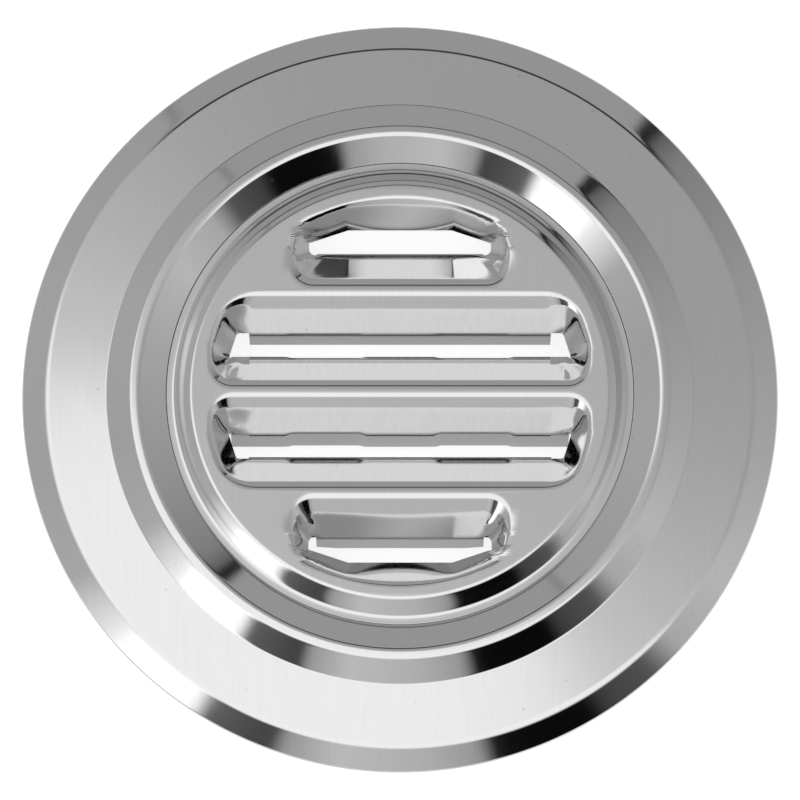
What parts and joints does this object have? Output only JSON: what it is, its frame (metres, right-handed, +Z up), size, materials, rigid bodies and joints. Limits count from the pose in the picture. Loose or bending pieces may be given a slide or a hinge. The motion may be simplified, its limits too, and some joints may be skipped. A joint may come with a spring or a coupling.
{
  "type": "floor drain grate",
  "caption": "Round pressed steel floor drain cover: a wide floor ring with a raised crest and a collar, and a slotted grate that lifts out of it on a spring strap.",
  "frame": {"origin": "centre of the collar, level with the foot of the rim, which is where the finished floor lies", "axes": "+Z up out of the drain, +X along the slots, +Y across them"},
  "size_m": [0.15, 0.15, 0.0202],
  "materials": {
    "polished_steel": "polished stainless steel with fine press and polishing marks",
    "spring_steel": "dull rolled stainless spring strip"
  },
  "bodies": {
    "ring": {"floor_ring": "polished_steel"},
    "grate": {"grate": "polished_steel", "spring_strap": "spring_steel"},
    "left_leg": {"left_spring_leg": "spring_steel"},
    "right_leg": {"right_spring_leg": "spring_steel"}
  },
  "joints": [
    {"name": "grate_lift", "type": "slide", "parent": "ring", "child": "grate", "axis": [0, 0, 1], "range_m": [0, 0.06]},
    {"name": "left_leg_flex", "type": "hinge", "parent": "grate", "child": "left_leg", "pos_m": [-0.03837, 0, -0.0001], "axis": [0, -1, 0], "range_deg": [0, 8], "stiffness_Nm_per_rad": 0.05, "springref_deg": -3.44},
    {"name": "right_leg_flex", "type": "hinge", "parent": "grate", "child": "right_leg", "pos_m": [0.03837, 0, -0.0001], "axis": [0, 1, 0], "range_deg": [0, 8], "stiffness_Nm_per_rad": 0.05, "springref_deg": -3.44}
  ]
}
